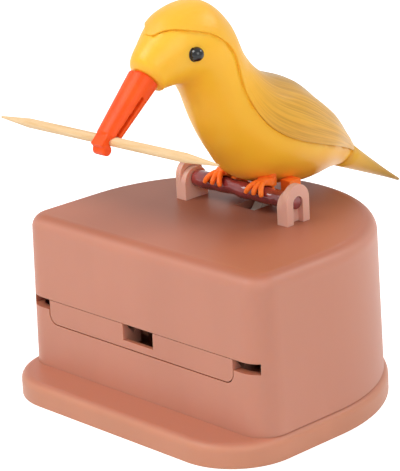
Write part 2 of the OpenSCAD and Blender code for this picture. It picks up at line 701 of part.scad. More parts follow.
module beak() color("#FF6E2A") at_perch() beak_axis() {
    slit_y = -0.5;
    end_z = beak_l + 1;
    difference() {
        beak_cone(end_z);
        // The lower half stops short of the toothpick, and a slit parts the halves
        translate([-5, slit_y, beak_l - pick_r - 0.3]) cube([10, 10, 5]);
        translate([-5, slit_y, 4.2]) cube([10, beak_slit, beak_l]);
        translate([-6, beak_shift, beak_l]) rotate([0, 90, 0])
            cylinder(r = pick_r + pin_gap, h = 12);
    }
    // The hook that closes under the toothpick
    hook_r = 1.15;
    difference() {
        union() {
            translate([-1.7, beak_shift, beak_l + pick_r + pin_gap + hook_r]) rotate([0, 90, 0])
                cylinder(r = hook_r, h = 3.4);
            translate([-1.7, -beak_tip_d / 2 + 0.35, beak_l - 0.5])
                cube([3.4, beak_tip_d / 2 + slit_y - 0.35 + 0.9, 0.5 + pick_r + 1.4]);
        }
        translate([-6, beak_shift, beak_l]) rotate([0, 90, 0])
            cylinder(r = pick_r + pin_gap, h = 12);
    }
    translate([0, 0, -plug_l + 0.5]) cylinder(r = plug_r, h = plug_l);
}

// The beak's outer form: a flattened cone with a rounded end
module beak_cone(len) {
    n = 10;
    skin([for (i = [0 : n]) let (u = i / n, z = len * u,
            ease = u < 0.9 ? 1 : sqrt(1 - pow((u - 0.9) / 0.125, 2)),
            d = (beak_root_d + (beak_tip_d - beak_root_d) * u) / 2 * ease,
            w = (7.1 + (5.5 - 7.1) * u) / 2 * ease)
        [for (k = [0 : 23]) [w * cos(k * 15), d * sin(k * 15), z]]]);
}

module eye(s) color("#17181A") at_perch() translate([s * (eye_at[0] - 1.4), eye_at[1], eye_at[2]])
    rotate([0, s * 90, 0]) {
        cylinder(d = eye_d, h = 1.2);
        translate([0, 0, 1.2]) intersection() {
            translate([0, 0, -eye_d * 0.18]) sphere(d = eye_d * 1.065);
            cylinder(d = eye_d, h = eye_d);
        }
    }
module eye_left() eye(-1);
module eye_right() eye(1);

// Tail: a blade that starts a step wider than the body's end and narrows to a point
tail_root = [0, 31.2, 0.5];
tail_tip = [0, 50, -10];
tail_a = atan2(tail_tip[2] - tail_root[2], tail_tip[1] - tail_root[1]);
tail_l = norm(tail_tip - tail_root);
module tail_axis() translate(tail_root) rotate([tail_a - 90, 0, 0]) children();

// The plane of the body's end, seen along the tail: its slope, and where it meets the axis
tail_dir = [cos(tail_a), sin(tail_a)];
tail_down = [sin(tail_a), -cos(tail_a)];
end_up = [at(last)[0], at(last)[1]];
end_low = [at(last)[2], at(last)[3]];
end_mid = (end_up + end_low) / 2 - [tail_root[1], tail_root[2]];
end_slope = (end_up - end_low) * tail_dir / ((end_up - end_low) * tail_down);
end_at = end_mid * tail_dir - end_slope * (end_mid * tail_down);

module tail() color("#D9A33C") at_perch() tail_axis() {
    n = 8;
    start = end_at + 2 * seat_gap;
    skin([for (i = [0 : n]) let (u = i / n, z = start + (tail_l - start) * u,
            w = 3.6 * (1 - u) + 0.5 * u, h = 3.1 * pow(1 - u, 1.15) + 0.35 * u)
        [for (k = [0 : 19]) let (y = h * sin(k * 18))
            [w * cos(k * 18), y, z + end_slope * pow(1 - u, 2) * y]]]);
    translate([0, 0, -2.8]) cylinder(r = 1.2, h = 4);
}

// ---------- feet and drive arm ----------

foot_x = 6.2;
leg_y = 3.1;
leg_r = 1;
leg_top = 5;
wrap_r = perch_d / 2 + claw_r + seat_gap;

// The space of a foot's ankle and toes, grown all round by g
ankle_r = 1.9;
ankle_z = 2.3;
toe_spread = 2.4;
module foot_room(g) {
    rotate([0, 90, 0]) cylinder(r = wrap_r + claw_r + g, h = 2 * (toe_spread + claw_r + g), center = true);
    translate([0, leg_y - ankle_r, ankle_z]) sphere(ankle_r + g);
}

// One toe: it runs over the branch from the ankle and down the other side
module toe(spread, from, to) {
    n = 7;
    path = [for (i = [0 : n]) let (u = i / n, a = from + (to - from) * u)
        [spread * u, wrap_r * cos(a), wrap_r * sin(a)]];
    skin(tube_rings(path, [for (p = path) [1, 0, 0]],
                    [for (i = [0 : n]) claw_r * (i == n ? 0.7 : 1)], 8));
}

module foot(s) color("#FF6A22") at_perch() translate([s * foot_x, 0, 0]) {
    for (k = [-1, 0, 1]) toe(k * toe_spread, 62, 172);
    toe(0.8 * s, 66, -20);
    // Leg from the branch up into the belly
    translate([0, leg_y, 1.2]) cylinder(r = leg_r, h = leg_top - 1.2);
    intersection() {
        translate([0, leg_y - ankle_r, ankle_z]) sphere(ankle_r);
        difference() {
            translate([-4, -4, 0]) cube(8);
            translate([-5, 0, 0]) rotate([0, 90, 0]) cylinder(r = perch_d / 2 + 0.1, h = 10);
        }
    }
}
module foot_left() foot(-1);
module foot_right() foot(1);

bridge_z0 = -2.9;
bridge_t = 1.2;
bridge_half = 9.4;
bridge_y = 5.2;
bridge_w = 3.4;
block_top = 4.6;

// Two blocks under the belly, grown all round by g
module foot_blocks(g) for (s = [-1, 1])
    translate([s * (bridge_half - 1.4) - 1.4 - g, bridge_y - g, bridge_z0])
        cube([2.8 + 2 * g, bridge_w + 2 * g, block_top - bridge_z0 + g]);

// The bar that ties the blocks together and carries the drive arm
module foot_bridge() color("#F2571C") at_perch() {
    translate([-bridge_half, bridge_y, bridge_z0]) cube([2 * bridge_half, bridge_w, bridge_t]);
    foot_blocks(0);
}

module drive_arm() color("#C9C4BA") at_perch() {
    tip = [arm_r * cos(arm_rest_a), arm_r * sin(arm_rest_a)];
    root = [6.9, bridge_z0 - arm_t / 2 - 0.02];
    along_x(arm_w) bar2d(root, tip, arm_t);
    along_x(rocker_t - 0.4) translate(tip) circle(arm_tip_r);
}

module toothpick() color("#F3D3A0") at_perch() translate([0.2, grip_y, grip_z]) rotate([0, 90, 0])
    rotate_extrude() polygon([[0, -pick_l / 2], [0.22, -pick_l / 2], [pick_r, -pick_l / 2 + 9],
                              [pick_r, pick_l / 2 - 9], [0.22, pick_l / 2], [0, pick_l / 2]]);

base_plate();
toothpick_ramp();
push_rod();
return_spring();
housing();
perch_clip_left();
perch_clip_right();
mechanism_frame();
frame_screws();
rocker_pin();
rocker();
tray();
perch();
drive_arm();
foot_bridge();
foot_left();
foot_right();
body_shell();
back_shell();
tail();
beak();
eye_left();
eye_right();
toothpick();
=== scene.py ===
"""Toothpick dispenser with a dipping bird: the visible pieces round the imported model."""
import json
import math

import bpy
from mathutils import Matrix, Vector, noise


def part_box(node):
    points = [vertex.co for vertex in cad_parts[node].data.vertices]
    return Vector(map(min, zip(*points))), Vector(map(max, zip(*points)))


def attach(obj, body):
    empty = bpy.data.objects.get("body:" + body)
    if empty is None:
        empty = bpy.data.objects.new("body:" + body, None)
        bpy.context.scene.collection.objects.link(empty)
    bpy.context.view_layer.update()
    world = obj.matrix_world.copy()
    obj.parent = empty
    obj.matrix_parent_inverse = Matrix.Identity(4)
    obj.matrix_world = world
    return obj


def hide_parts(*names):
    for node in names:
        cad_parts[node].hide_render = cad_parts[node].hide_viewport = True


bl_info = {
    "name": "Bird Toothpick Dispenser",
    "version": (1, 0, 0),
    "blender": (4, 5, 0),
    "location": "View3D > Sidebar > Dispenser",
    "description": "Builds the bird, its branch and the moulded finish of the box",
    "category": "Add Mesh",
}

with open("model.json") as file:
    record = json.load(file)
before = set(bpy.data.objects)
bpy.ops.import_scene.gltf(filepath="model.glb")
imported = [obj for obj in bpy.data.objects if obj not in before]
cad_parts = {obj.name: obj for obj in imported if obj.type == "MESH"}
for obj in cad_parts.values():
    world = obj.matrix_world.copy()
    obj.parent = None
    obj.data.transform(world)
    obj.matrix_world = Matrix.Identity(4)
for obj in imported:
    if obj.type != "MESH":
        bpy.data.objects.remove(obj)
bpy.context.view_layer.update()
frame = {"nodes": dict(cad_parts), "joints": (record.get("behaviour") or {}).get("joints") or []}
MM = 0.001
# Gaps in metres that are welded in a rolled-up grid and in the copy of a node
SEAM_GAP, NODE_GAP = 0.000001, 0.000002

# ---------------------------------------------------------------- the bird's form
# Sections from the root of the beak to the root of the tail, in mm from the branch's axis:
# upper edge (y, z), lower edge (y, z), half width, and how far round the hood reaches
SECTIONS = (
    (-27.6, 31.9, -23.0, 26.7, 3.5, 0),
    (-27.3, 34.3, -22.8, 26.5, 4.4, 0),
    (-24.7, 37.3, -22.6, 26.7, 5.1, 5),
    (-19.3, 41.8, -18.5, 26.9, 7.0, 52),
    (-11.0, 42.8, -15.7, 25.9, 8.0, 73),
    (-4.9, 38.3, -13.3, 21.9, 7.8, 73),
    (-0.9, 30.7, -10.4, 15.0, 8.1, 86),
    (4.4, 25.2, -5.9, 8.1, 9.6, 93),
    (14.1, 21.0, -0.6, 2.5, 11.0, 93),
    (23.7, 13.1, 12.3, -1.3, 9.3, 83),
    (30.8, 5.7, 23.9, -1.2, 4.8, 75),
    (33.5, 2.6, 28.8, -1.5, 3.0, 68),
)
LAST = len(SECTIONS) - 1
PERCH_Z = next(j["pos_m"][2] for j in frame["joints"] if j["name"] == "bird_dip") / MM

# The body: rows of its grid, the depth in mm by which it sinks under the hood, the degrees
# inside the hood's edge over which it sinks, and the rings of its rounded end, each with its
# share of the last section and its mm beyond it
BODY_ROWS = 140
SUNK_DEPTH, SUNK_FROM, SUNK_TO = 0.9, 2.5, 6.0
ROUNDED_END = ((0.93, 0.25), (0.75, 0.55), (0.4, 0.75))

# The hood: its first and last section, its grid, how fast its point widens at the brow and
# how blunt that is, the shoulders' height in mm, and the feather lines round and along
HOOD_T0, HOOD_T1 = 2.15, 10.95
HOOD_ROWS, HOOD_COLUMNS = 150, 56
BROW_WIDTH, BROW_BLUNT = 62, 0.012
SHOULDER_HEIGHT = 0.25
LINES_ROUND, LINES_ALONG = 18, 2.2

# Shares of the eye's size: the bead across its rim, and its collar's radius, half thickness
# and distance behind the bead's middle
EYE_RIM = 0.94
COLLAR_RADIUS, COLLAR_THICKNESS, COLLAR_BACK = 0.47, 0.045, 0.12

# Pieces of the feet that are pressed down: node, mm below its top from where, share left
PRESSED = (("foot_left", 1.7, 0.45), ("foot_right", 1.7, 0.45), ("foot_bridge", 3.2, 0.2))

# The branch's lumps: mm from a clip to where they begin and where they are full, their
# pattern's scale along and across, and the cap on their height
LUMPS_BEGIN, LUMPS_FULL = 0.4, 2.5
LUMPS_ALONG, LUMPS_ACROSS = 420, 300
LUMPS_CAP = 0.2

PICK_SHIFT = -1.0 * MM

# ---------------------------------------------------------------- the stage's numbers
FLOOR_SIZE, FLOOR_Z = 6, -0.0001
FLOOR_LIFT = 0.66
WORLD_LIGHT, WORLD_SEEN = 0.40, 1.0
# Name, place, size and power of each lamp, and the point that they all face
LAMPS = (
    ("key", (-0.25, -0.45, 0.6), 0.35, 3.2),
    ("fill", (0.55, -0.25, 0.35), 0.4, 1.5),
    ("rim", (0.3, 0.5, 0.55), 0.25, 1.6),
)
LAMP_AIM = (0, -0.005, 0.04)
# The photograph's viewpoint: place in mm, then turn, height angle and roll in degrees
CAMERA_AT = (335.118, -327.156, 186.725)
CAMERA_ANGLES = (46.8233, 18.1864, -2.9039)
FOCAL_PIXELS, FRAME_PIXELS, SENSOR_MM = 2300.0946, 471, 36


def section(t):
    """The bird's section at t, on a smooth curve through the listed ones."""
    i = min(int(math.floor(t)), LAST - 1)
    u = t - i
    b, c = SECTIONS[i], SECTIONS[i + 1]
    a = SECTIONS[i - 1] if i > 0 else [2 * p - q for p, q in zip(b, c)]
    d = SECTIONS[i + 2] if i + 2 <= LAST else [2 * q - p for p, q in zip(b, c)]
    return [
        (2 * q + (r - p) * u + (2 * p - 5 * q + 4 * r - s) * u * u
         + (3 * q - p - 3 * r + s) * u ** 3) / 2
        for p, q, r, s in zip(a, b, c, d)
    ]


def skin_point(t, degrees, grow):
    """A point on the bird's skin, moved outward by grow mm; the point is in metres."""
    uy, uz, ly, lz, half, _ = section(t)
    hy, hz = (uy - ly) / 2, (uz - lz) / 2
    k = 1 + grow / math.hypot(hy, hz)
    w = math.radians(degrees)
    return Vector((
        (half + grow) * math.sin(w),
        (uy + ly) / 2 + hy * k * math.cos(w),
        (uz + lz) / 2 + hz * k * math.cos(w) + PERCH_Z,
    )) * MM


def ring_middle(t, count):
    """The middle of the skin's ring at t."""
    return sum((skin_point(t, 360 * k / count, 0) for k in range(count)), Vector()) / count


def hood_half(t):
    """How far round the hood reaches at t, in degrees, drawn round at the brow."""
    return min(section(t)[5], BROW_WIDTH * math.sqrt(max(t - HOOD_T0, 0) + BROW_BLUNT))


def ease(x, low, high):
    """A soft step from 0 at low to 1 at high."""
    x = min(max((x - low) / (high - low), 0.0), 1.0)
    return x * x * (3 - 2 * x)


def band(x, begin, full, fading, end):
    """1 from full to fading, and softly down to 0 at begin and end."""
    return ease(x, begin, full) * (1 - ease(x, fading, end))


# ---------------------------------------------------------------- modelling helpers

def deselect():
    if bpy.context.mode != "OBJECT":
        bpy.ops.object.mode_set(mode="OBJECT")
    bpy.ops.object.select_all(action="DESELECT")


def activate(obj):
    deselect()
    obj.select_set(True)
    bpy.context.view_layer.objects.active = obj


def give_finish(obj, finish):
    obj.data.materials.clear()
    obj.data.materials.append(finish_named(finish))


def finish_piece(obj, name, body, finish, node, angle):
    """Names the piece, puts its place into its mesh, shades it and ties it to its body."""
    activate(obj)
    bpy.ops.object.transform_apply(location=True, rotation=True, scale=True)
    bpy.ops.object.shade_smooth_by_angle(angle=math.radians(angle))
    obj.name = obj.data.name = name
    give_finish(obj, finish)
    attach(obj, body)
    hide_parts(node)


def apply_modifiers(obj):
    activate(obj)
    for modifier in list(obj.modifiers):
        bpy.ops.object.modifier_apply(modifier=modifier.name)


def mapped_grid(rows, columns, place):
    """A grid whose points are put at place(u, v), row by row, with u and v from 0 to 1."""
    deselect()
    bpy.ops.mesh.primitive_grid_add(x_subdivisions=rows, y_subdivisions=columns, size=2)
    obj = bpy.context.object
    for vert in obj.data.vertices:
        vert.co = place((vert.co.x + 1) / 2, (vert.co.y + 1) / 2)
    obj.data.update()
    return obj


def close_up(obj):
    """Welds the seam of a rolled-up grid, fills its ends and turns its faces outward."""
    activate(obj)
    bpy.ops.object.mode_set(mode="EDIT")
    bpy.ops.mesh.select_all(action="SELECT")
    bpy.ops.mesh.remove_doubles(threshold=SEAM_GAP)
    bpy.ops.mesh.fill_holes(sides=0)
    bpy.ops.mesh.select_all(action="SELECT")
    bpy.ops.mesh.normals_make_consistent(inside=False)
    bpy.ops.object.mode_set(mode="OBJECT")


def merged_copy(node):
    """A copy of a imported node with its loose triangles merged, to work on."""
    source = frame["nodes"][node]
    obj = bpy.data.objects.new(node + "_form", source.data.copy())
    bpy.context.scene.collection.objects.link(obj)
    activate(obj)
    bpy.ops.object.mode_set(mode="EDIT")
    bpy.ops.mesh.select_all(action="SELECT")
    bpy.ops.mesh.remove_doubles(threshold=NODE_GAP)
    bpy.ops.mesh.delete_loose()
    bpy.ops.object.mode_set(mode="OBJECT")
    return obj


def moulded_copy(node, voxel_mm, rounds):
    """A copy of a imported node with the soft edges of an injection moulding."""
    obj = merged_copy(node)
    remesh = obj.modifiers.new("Remesh", "REMESH")
    remesh.mode = "VOXEL"
    remesh.voxel_size = voxel_mm * MM
    soften = obj.modifiers.new("Soften", "SMOOTH")
    soften.factor = 0.5
    soften.iterations = rounds
    apply_modifiers(obj)
    return obj


# ---------------------------------------------------------------- materials

def linear(rgb):
    return tuple(c / 12.92 if c <= 0.04045 else ((c + 0.055) / 1.055) ** 2.4 for c in rgb) + (1.0,)


def rgb255(r, g, b):
    return linear((r / 255, g / 255, b / 255))


def darker(colour, share):
    return tuple(c * share for c in colour[:3]) + (1.0,)


class Shader:
    """A principled material with a few helpers to add nodes to it."""

    # Places of the colour sockets on a Mix node, which has a set of them for each data type
    SHARE, COLOUR_A, COLOUR_B, MIXED = 0, 6, 7, 2

    def __init__(self, name, roughness, coat=0.0, specular=0.5):
        self.material = bpy.data.materials.new(name)
        self.material.use_nodes = True
        self.tree = self.material.node_tree
        self.main = self.tree.nodes["Principled BSDF"]
        self.main.inputs["Roughness"].default_value = roughness
        self.main.inputs["Coat Weight"].default_value = coat
        self.main.inputs["Coat Roughness"].default_value = 0.12
        self.main.inputs["Specular IOR Level"].default_value = specular

    def node(self, kind, **settings):
        made = self.tree.nodes.new(kind)
        for key, value in settings.items():
            setattr(made, key, value)
        return made

    def link(self, out, into):
        self.tree.links.new(out, into)

    def place(self, scale=(1, 1, 1), attribute=None):
        """Object coordinates, or an attribute's vector, stretched by scale."""
        if attribute:
            source = self.node("ShaderNodeAttribute", attribute_name=attribute).outputs["Vector"]
        else:
            source = self.node("ShaderNodeTexCoord").outputs["Object"]
        mapping = self.node("ShaderNodeMapping")
        mapping.inputs["Scale"].default_value = scale
        self.link(source, mapping.inputs["Vector"])
        return mapping.outputs["Vector"]

    def noise(self, where, scale, detail=3.0, rough=0.5):
        texture = self.node("ShaderNodeTexNoise")
        texture.inputs["Scale"].default_value = scale
        texture.inputs["Detail"].default_value = detail
        texture.inputs["Roughness"].default_value = rough
        self.link(where, texture.inputs["Vector"])
        return texture.outputs["Fac"]

    def ramp(self, value, *stops):
        ramp = self.node("ShaderNodeValToRGB")
        elements = ramp.color_ramp.elements
        while len(elements) < len(stops):
            elements.new(0.5)
        for element, (at, colour) in zip(elements, stops):
            element.position = at
            element.color = colour
        self.link(value, ramp.inputs["Fac"])
        return ramp.outputs["Color"]

    def mix(self, share, a, b):
        """Colour a where share is 0 and b where it is 1, each a colour or a node's output."""
        mix = self.node("ShaderNodeMix", data_type="RGBA")
        for place, value in ((self.SHARE, share), (self.COLOUR_A, a), (self.COLOUR_B, b)):
            if hasattr(value, "is_output"):
                self.link(value, mix.inputs[place])
            else:
                mix.inputs[place].default_value = value
        return mix.outputs[self.MIXED]

    def axis(self, where, name):
        split = self.node("ShaderNodeSeparateXYZ")
        self.link(where, split.inputs[0])
        return split.outputs[name]

    def spread(self, value, low, high):
        """Maps low..high to 0..1 with soft ends."""
        spread = self.node("ShaderNodeMapRange", interpolation_type="SMOOTHSTEP")
        spread.inputs["From Min"].default_value = low
        spread.inputs["From Max"].default_value = high
        self.link(value, spread.inputs["Value"])
        return spread.outputs["Result"]

    def bump(self, height, strength, depth_mm):
        bump = self.node("ShaderNodeBump")
        bump.inputs["Strength"].default_value = strength
        bump.inputs["Distance"].default_value = depth_mm * MM
        self.link(height, bump.inputs["Height"])
        self.link(bump.outputs["Normal"], self.main.inputs["Normal"])

    def colour(self, value):
        self.link(value, self.main.inputs["Base Color"])

    def glow(self, weight, radius_mm):
        """Light that scatters a little way into a translucent plastic."""
        self.main.inputs["Subsurface Weight"].default_value = weight
        self.main.inputs["Subsurface Radius"].default_value = (1.0, 0.45, 0.2)
        self.main.inputs["Subsurface Scale"].default_value = radius_mm * MM


def moulded_box(name, face, top):
    """Glossy moulded plastic: faint flow marks, a top darkened by painted shade and a painted dark
    reflection, a fine ripple.
    """
    s = Shader(name, 0.42, specular=0.22)
    where = s.place()
    flow = s.noise(s.place((1, 1, 0.35)), 42.0, 3.0, 0.55)
    body = s.mix(s.spread(flow, 0.3, 0.7), face, darker(face, 0.93))
    normal = s.node("ShaderNodeNewGeometry").outputs["Normal"]
    up = s.spread(s.axis(normal, "Z"), 0.55, 0.98)
    # Painted dark reflection: the top darkens from its front edge towards the bird, except on its
    # right
    dark_reflection_share = s.spread(s.axis(where, "Y"), -0.025, -0.008)
    shade = s.mix(dark_reflection_share, top, darker(top, 0.6))
    bright = s.spread(s.axis(where, "X"), 0.004, 0.026)
    # Painted shade: faces that look up take the darker top colour, a shaded copy of the same
    # plastic
    s.colour(s.mix(up, body, s.mix(bright, shade, top)))
    s.bump(s.noise(where, 900.0, 2.0), 0.12, 0.06)
    s.glow(0.3, 2.2)
    return s.material


def make_materials():
    """Every finish of the object, by name."""
    colours = bpy.context.scene.dispenser_colours
    made = {}
    # The box and base tops are darker copies of their face colours: painted shade
    made["box"] = moulded_box("salmon_plastic", linear(colours.box), linear(colours.box_top_shade))
    made["base"] = moulded_box("base_plastic", linear(colours.base), linear(colours.base_top_shade))
    made["clip"] = moulded_box("clip_plastic", linear(colours.clip), linear(colours.clip))

    # Orange on the underside and low on the belly as painted shade, paler in clouds on the face
    s = Shader("yellow_plastic", 0.36, specular=0.3)
    where = s.place()
    belly = s.spread(s.axis(where, "Z"), 0.040, 0.053)
    warm = s.mix(belly, linear(colours.belly), linear(colours.bird))
    normal = s.node("ShaderNodeNewGeometry").outputs["Normal"]
    under = s.spread(s.axis(normal, "Z"), -0.35, -1.0)
    warm = s.mix(under, warm, linear(colours.throat_shade))
    cloud = s.noise(where, 60.0, 2.0)
    s.colour(s.mix(s.spread(cloud, 0.5, 0.8), warm, linear(colours.bird_light)))
    s.bump(s.noise(where, 700.0, 2.0), 0.1, 0.05)
    s.glow(0.25, 2.5)
    made["yellow"] = s.material

    # The attribute holds the share along the bird, then the share round from its ridge
    s = Shader("hood_plastic", 0.34, specular=0.3)
    along = s.place(attribute="feather")
    back = s.spread(s.axis(along, "X"), 0.52, 0.68)
    ridge = s.spread(s.axis(along, "Y"), 0.55, 0.05)
    # The darker wing lines fall in the hollows of the streaks' bump: painted shade in the feather
    # grooves
    streak = s.noise(s.place((4.0, 26.0, 1.0), "feather"), 1.6, 3.0, 0.6)
    gold = s.mix(s.spread(streak, 0.36, 0.66), linear(colours.wing_line_shade), linear(colours.wing))
    dusk = s.mix(ridge, gold, linear(colours.ridge))
    s.colour(s.mix(back, linear(colours.hood), dusk))
    s.bump(streak, 0.25, 0.25)
    s.glow(0.2, 2.0)
    made["olive"] = s.material

    s = Shader("tail_plastic", 0.36, specular=0.2)
    end = s.spread(s.axis(s.place(), "Y"), 0.030, 0.048)
    s.colour(s.mix(end, linear(colours.wing), linear(colours.tail_tip)))
    s.bump(s.noise(s.place((40, 6, 30)), 30.0, 2.0), 0.15, 0.1)
    s.glow(0.2, 1.5)
    made["tail"] = s.material

    for name, pale, deep in (
        ("beak", colours.beak, colours.beak_deep),
        ("feet", colours.feet, colours.feet_deep),
    ):
        s = Shader(name + "_plastic", 0.38, specular=0.18)
        where = s.place()
        tint = s.spread(s.noise(where, 180.0, 2.0), 0.3, 0.75)
        s.colour(s.mix(tint, linear(pale), linear(deep)))
        s.bump(s.noise(where, 800.0, 2.0), 0.12, 0.05)
        s.glow(0.2, 1.0)
        made[name] = s.material

    s = Shader("branch_plastic", 0.2, coat=0.5)
    # Dark patches lie in the bump's hollows and pale ones on its knobs: partly a mottled pattern,
    # partly painted shade and painted highlight
    patch = s.noise(s.place((1, 3, 3)), 90.0, 3.0, 0.6)
    s.colour(s.ramp(
        patch, (0.3, linear(colours.branch_pattern_and_shade)), (0.62, linear(colours.branch)),
        (0.8, linear(colours.branch_pattern_and_highlight))))
    s.bump(patch, 0.35, 0.3)
    made["branch"] = s.material

    s = Shader("eye_bead", 0.12)
    s.colour(s.mix(s.noise(s.place(), 300.0), rgb255(10, 10, 12), rgb255(22, 23, 26)))
    made["eye"] = s.material

    s = Shader("birch", 0.55)
    grain = s.noise(s.place((20, 260, 260)), 6.0, 4.0, 0.6)
    s.colour(s.ramp(grain, (0.3, linear(colours.wood_dark)), (0.7, linear(colours.wood))))
    s.bump(grain, 0.3, 0.1)
    made["wood"] = s.material

    s = Shader("nylon", 0.5)
    where = s.place()
    s.colour(s.mix(s.noise(where, 80.0), rgb255(228, 220, 206), rgb255(214, 204, 190)))
    s.bump(s.noise(where, 600.0), 0.15, 0.05)
    made["inner"] = s.material

    s = Shader("bright_steel", 0.28)
    s.main.inputs["Metallic"].default_value = 1.0
    grain = s.noise(s.place((1, 1, 40)), 60.0, 2.0)
    s.colour(s.mix(grain, rgb255(186, 188, 192), rgb255(150, 152, 156)))
    s.bump(grain, 0.1, 0.03)
    made["steel"] = s.material
    return made


_finishes = {}


def finish_named(name):
    if not _finishes:
        _finishes.update(make_materials())
    return _finishes[name]


# ---------------------------------------------------------------- settings

def colour_property(name, description, rgb):
    return bpy.props.FloatVectorProperty(
        name=name, description=description, subtype="COLOR", size=3, min=0, max=1,
        default=tuple(c / 255 for c in rgb))


class DispenserSizes(bpy.types.PropertyGroup):
    hood_proud: bpy.props.FloatProperty(
        name="Hood proud", description="How far the hood stands out over the face",
        default=0.5 * MM, min=0.3 * MM, max=0.8 * MM, unit="LENGTH", precision=5)
    hood_thickness: bpy.props.FloatProperty(
        name="Hood thickness", description="Wall of the hood",
        default=1.3 * MM, min=1.0 * MM, max=1.6 * MM, unit="LENGTH", precision=5)
    feather_depth: bpy.props.FloatProperty(
        name="Feather depth", description="Depth of the feather lines on the wings",
        default=0.14 * MM, min=0.0, max=0.4 * MM, unit="LENGTH", precision=5)
    knob_height: bpy.props.FloatProperty(
        name="Knob height", description="How lumpy the branch is",
        default=0.16 * MM, min=0.0, max=0.3 * MM, unit="LENGTH", precision=5)
    eye_size: bpy.props.FloatProperty(
        name="Eye size", description="Across each eye",
        default=3.2 * MM, min=2.6 * MM, max=3.6 * MM, unit="LENGTH", precision=5)
    eye_proud: bpy.props.FloatProperty(
        name="Eye proud", description="How much further out each eye sits than its seat",
        default=0.35 * MM, min=0.0, max=0.6 * MM, unit="LENGTH", precision=5)
    pick_tilt: bpy.props.FloatProperty(
        name="Toothpick tilt", description="How far the toothpick hangs askew in the beak",
        default=math.radians(0.9), min=math.radians(-3), max=math.radians(3), subtype="ANGLE")
    ring_steps: bpy.props.IntProperty(
        name="Ring points", description="Points round each ring of the bird",
        default=64, min=24, max=96)


class DispenserColours(bpy.types.PropertyGroup):
    box: colour_property("Box", "Front and sides of the box", (204, 140, 118))
    # Painted shade: a darker copy of the box's face colour for its top
    box_top_shade: colour_property("Box top", "Top of the box", (178, 108, 82))
    base: colour_property("Base", "Base plate", (206, 142, 114))
    # Painted shade: a darker copy of the base's face colour for its top
    base_top_shade: colour_property("Base top", "Upper face of the base plate", (190, 122, 98))
    clip: colour_property("Clips", "Clips that hold the branch", (228, 178, 160))
    bird: colour_property("Bird", "Face and breast", (255, 190, 48))
    bird_light: colour_property("Bird light", "Palest yellow of the face", (255, 204, 84))
    # Belly and throat are painted shade: the orange of the yellow plastic where it lies in shade
    belly: colour_property("Belly", "Underside of the belly", (252, 172, 46))
    throat_shade: colour_property("Throat", "Shaded orange below the chin", (255, 184, 60))
    hood: colour_property("Hood", "Hood over head and neck", (252, 186, 54))
    wing: colour_property("Wing", "Wings and back", (232, 174, 62))
    # Painted shade in the hollows of the feather streaks
    wing_line_shade: colour_property("Wing lines", "Darker lines on the wings", (208, 152, 52))
    ridge: colour_property("Back ridge", "Middle of the back", (176, 130, 40))
    tail_tip: colour_property("Tail tip", "End of the tail", (178, 130, 30))
    beak: colour_property("Beak", "Beak", (250, 90, 26))
    beak_deep: colour_property("Beak shade", "Deeper orange of the beak", (240, 78, 20))
    feet: colour_property("Feet", "Feet and the bar between them", (255, 128, 44))
    feet_deep: colour_property("Feet shade", "Deeper orange of the feet", (250, 112, 34))
    branch: colour_property("Branch", "Branch", (150, 54, 50))
    # Partly a mottled pattern, partly painted shade in the hollows and painted highlight on the
    # knobs
    branch_pattern_and_shade: colour_property("Branch dark", "Darker patches of the branch", (84, 30, 38))
    branch_pattern_and_highlight: colour_property("Branch light", "Paler patches of the branch", (150, 66, 62))
    wood: colour_property("Wood", "Toothpick", (240, 206, 160))
    wood_dark: colour_property("Wood grain", "Grain of the toothpick", (228, 186, 130))


# ---------------------------------------------------------------- operators

class DISPENSER_OT_box(bpy.types.Operator):
    """Finish the moulded box, its base plate, tray and clips"""

    bl_idname = "dispenser.box"
    bl_label = "Box, base and clips"

    def execute(self, context):
        for node, finish in (
            ("housing", "box"), ("tray", "box"), ("base_plate", "base"), ("toothpick_ramp", "base"),
            ("perch_clip_left", "clip"), ("perch_clip_right", "clip"),
        ):
            give_finish(frame["nodes"][node], finish)
        return {"FINISHED"}


class DISPENSER_OT_mechanism(bpy.types.Operator):
    """Finish the levers, the spring and the screws inside the box"""

    bl_idname = "dispenser.mechanism"
    bl_label = "Mechanism"

    def execute(self, context):
        for node, finish in (
            ("push_rod", "inner"), ("rocker", "inner"), ("mechanism_frame", "inner"),
            ("drive_arm", "inner"), ("rocker_pin", "steel"), ("frame_screws", "steel"),
            ("return_spring", "steel"),
        ):
            give_finish(frame["nodes"][node], finish)
        return {"FINISHED"}


class DISPENSER_OT_body(bpy.types.Operator):
    """Loft the bird's face, breast and belly"""

    bl_idname = "dispenser.body"
    bl_label = "Body of the bird"

    def execute(self, context):
        count = context.scene.dispenser_sizes.ring_steps
        rows = BODY_ROWS + len(ROUNDED_END)
        centre = ring_middle(LAST, count)
        lead = (centre - ring_middle(LAST - 0.4, count)).normalized()

        def place(u, v):
            row, around = round(u * rows), 360 * v
            t = LAST * min(row, BODY_ROWS) / BODY_ROWS
            sunk = 0.0
            if HOOD_T0 + 0.1 < t < HOOD_T1 - 0.1:
                away = min(around, 360 - around)
                sunk = ease(hood_half(t) - away, SUNK_FROM, SUNK_TO)
            point = skin_point(t, around, -SUNK_DEPTH * sunk)
            if row <= BODY_ROWS:
                return point
            share, beyond = ROUNDED_END[row - BODY_ROWS - 1]
            return centre + (point - centre) * share + lead * beyond * MM

        obj = mapped_grid(rows, count, place)
        close_up(obj)
        finish_piece(obj, "bird_body", "bird", "yellow", "body_shell", angle=50)
        return {"FINISHED"}


